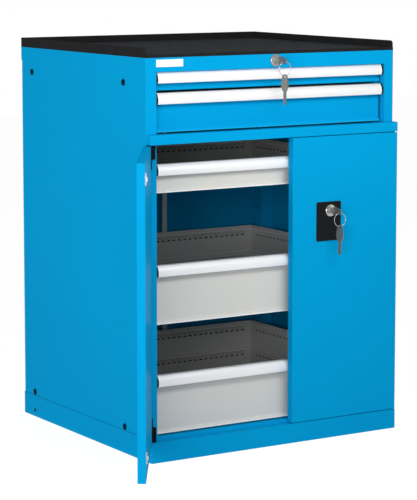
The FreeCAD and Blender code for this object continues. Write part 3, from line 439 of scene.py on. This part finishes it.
def side_marks():
    """Painted shade: a dark strip along the seam between each side panel and the base, and a dark disc in
    the base's hole near the back.
    """
    low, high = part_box("left_side_panel")
    seams = bmesh.new()
    disc_shades = bmesh.new()
    for side in (-1, 1):
        a, b = sorted((side * (SIDE_FACE - WALL / 2), side * (SIDE_FACE + SEAM_PROUD)))
        box_into(seams, (a, low[1], low[2] - SEAM_HEIGHT / 2), (b, high[1], low[2] + SEAM_HEIGHT / 2))
        place = Matrix.Translation((side * SIDE_FACE, BASE_HOLE_Y, BASE_HOLE_Z))
        bmesh.ops.create_cone(disc_shades, cap_ends=True, segments=HOLE_SHADE_FACETS, depth=HOLE_SHADE_DEPTH,
                              radius1=HOLE_SHADE_RADIUS, radius2=HOLE_SHADE_RADIUS,
                              matrix=place @ Matrix.Rotation(math.radians(90), 4, "Y"))
    # Dark strips of painted shade along the seams
    riding_piece(seams, "side_seam_shades", "cabinet", "seam_shade_blue")
    # Dark discs of painted shade in the holes
    riding_piece(disc_shades, "base_hole_shades", "cabinet", "plug_plastic")


def soft_edges():
    """Small rounds on the folded sheets, so their edges and seams catch the light."""
    for name in SHEETS:
        modifier = NODES[name].modifiers.new("edge", "BEVEL")
        modifier.width = EDGE_ROUND
        modifier.segments = EDGE_SEGMENTS
        modifier.limit_method = "ANGLE"
        modifier.angle_limit = math.radians(EDGE_ANGLE)


def either_ray(tree, first, second):
    """One for rays of either kind, nought for the rest."""
    path = tree.nodes.new("ShaderNodeLightPath")
    either = tree.nodes.new("ShaderNodeMath")
    either.operation = "MAXIMUM"
    linked(tree, path.outputs[first], either.inputs[0])
    linked(tree, path.outputs[second], either.inputs[1])
    return either.outputs[0]


def diffuse(tree, grey):
    node = tree.nodes.new("ShaderNodeBsdfDiffuse")
    node.inputs["Color"].default_value = (grey, grey, grey, 1)
    return node.outputs[0]


def background(tree, strength):
    node = tree.nodes.new("ShaderNodeBackground")
    node.inputs["Color"].default_value = (1, 1, 1, 1)
    node.inputs["Strength"].default_value = strength
    return node.outputs[0]


def mixed(tree, factor, plain, chosen):
    """The chosen shader where the factor is one, and the plain one where it is nought."""
    mix = tree.nodes.new("ShaderNodeMixShader")
    linked(tree, factor, mix.inputs["Fac"])
    linked(tree, plain, mix.inputs[1])
    linked(tree, chosen, mix.inputs[2])
    return mix.outputs[0]


def floor():
    """Pale floor that goes white for the camera and keeps the object's shadow."""
    mesh = bpy.data.meshes.new("floor")
    corners = [(-FLOOR_HALF, -FLOOR_HALF, 0), (FLOOR_HALF, -FLOOR_HALF, 0),
               (FLOOR_HALF, FLOOR_HALF, 0), (-FLOOR_HALF, FLOOR_HALF, 0)]
    mesh.from_pydata(corners, [], [(0, 1, 2, 3)])
    obj = bpy.data.objects.new("floor", mesh)
    bpy.context.scene.collection.objects.link(obj)
    mat = bpy.data.materials.new("floor")
    mat.use_nodes = True
    tree = mat.node_tree
    tree.nodes.clear()
    out = tree.nodes.new("ShaderNodeOutputMaterial")
    glow = tree.nodes.new("ShaderNodeEmission")
    glow.inputs["Strength"].default_value = FLOOR_GLOW
    seen = tree.nodes.new("ShaderNodeAddShader")
    linked(tree, diffuse(tree, FLOOR_SHADOW), seen.inputs[0])
    linked(tree, glow.outputs[0], seen.inputs[1])
    ray = either_ray(tree, "Is Camera Ray", "Is Glossy Ray")
    linked(tree, mixed(tree, ray, diffuse(tree, FLOOR_BOUNCE), seen.outputs[0]), out.inputs["Surface"])
    mesh.materials.append(mat)


def world():
    """Even soft light, and white where the camera looks past the object."""
    sky = bpy.data.worlds.new("studio")
    bpy.context.scene.world = sky
    sky.use_nodes = True
    tree = sky.node_tree
    tree.nodes.clear()
    out = tree.nodes.new("ShaderNodeOutputWorld")
    ray = either_ray(tree, "Is Camera Ray", "Is Transmission Ray")
    both = mixed(tree, ray, background(tree, SKY_STRENGTH), background(tree, 1.0))
    linked(tree, both, out.inputs["Surface"])


def area_light(name, place, target, size, power):
    """A soft lamp that shines from its place to a target, and that the camera doesn't see."""
    data = bpy.data.lights.new(name, "AREA")
    data.shape = "RECTANGLE"
    data.size = size[0]
    data.size_y = size[1]
    data.energy = power
    obj = bpy.data.objects.new(name, data)
    obj.location = place
    obj.rotation_euler = (Vector(target) - Vector(place)).to_track_quat("-Z", "Y").to_euler()
    obj.visible_camera = False
    bpy.context.scene.collection.objects.link(obj)


def lights():
    area_light("key", place=(-2.6, -4.4, 1.4), target=(0, -0.1, 0.55), size=(1.6, 1.4), power=30)
    area_light("left_front", place=(-3.4, -3.4, 1.0), target=(0, -0.1, 0.55), size=(1.4, 1.2), power=56)
    area_light("left_fill", place=(-4.8, -0.6, 1.8), target=(-0.2, 0, 0.55), size=(2.2, 2.0), power=80)
    area_light("near_top", place=(0, -1.65, 1.54), target=(0.05, -0.3, 0.88), size=(1.0, 0.5), power=15)


def camera():
    data = bpy.data.cameras.new("camera")
    data.sensor_width = SENSOR
    data.lens = CAMERA_LENS
    data.shift_y = CAMERA_SHIFT_Y
    obj = bpy.data.objects.new("camera", data)
    obj.location = CAMERA_PLACE
    obj.rotation_euler = (math.radians(90 - CAMERA_PITCH), 0, -math.radians(CAMERA_YAW))
    bpy.context.scene.collection.objects.link(obj)
    bpy.context.scene.camera = obj


bpy.context.scene.view_settings.view_transform = "Standard"
dress_cad()
for number in DRAWERS:
    tray(number)
for number in HEMMED_DRAWERS:
    front_hem(number)
side_marks()
soft_edges()
floor()
world()
lights()
camera()
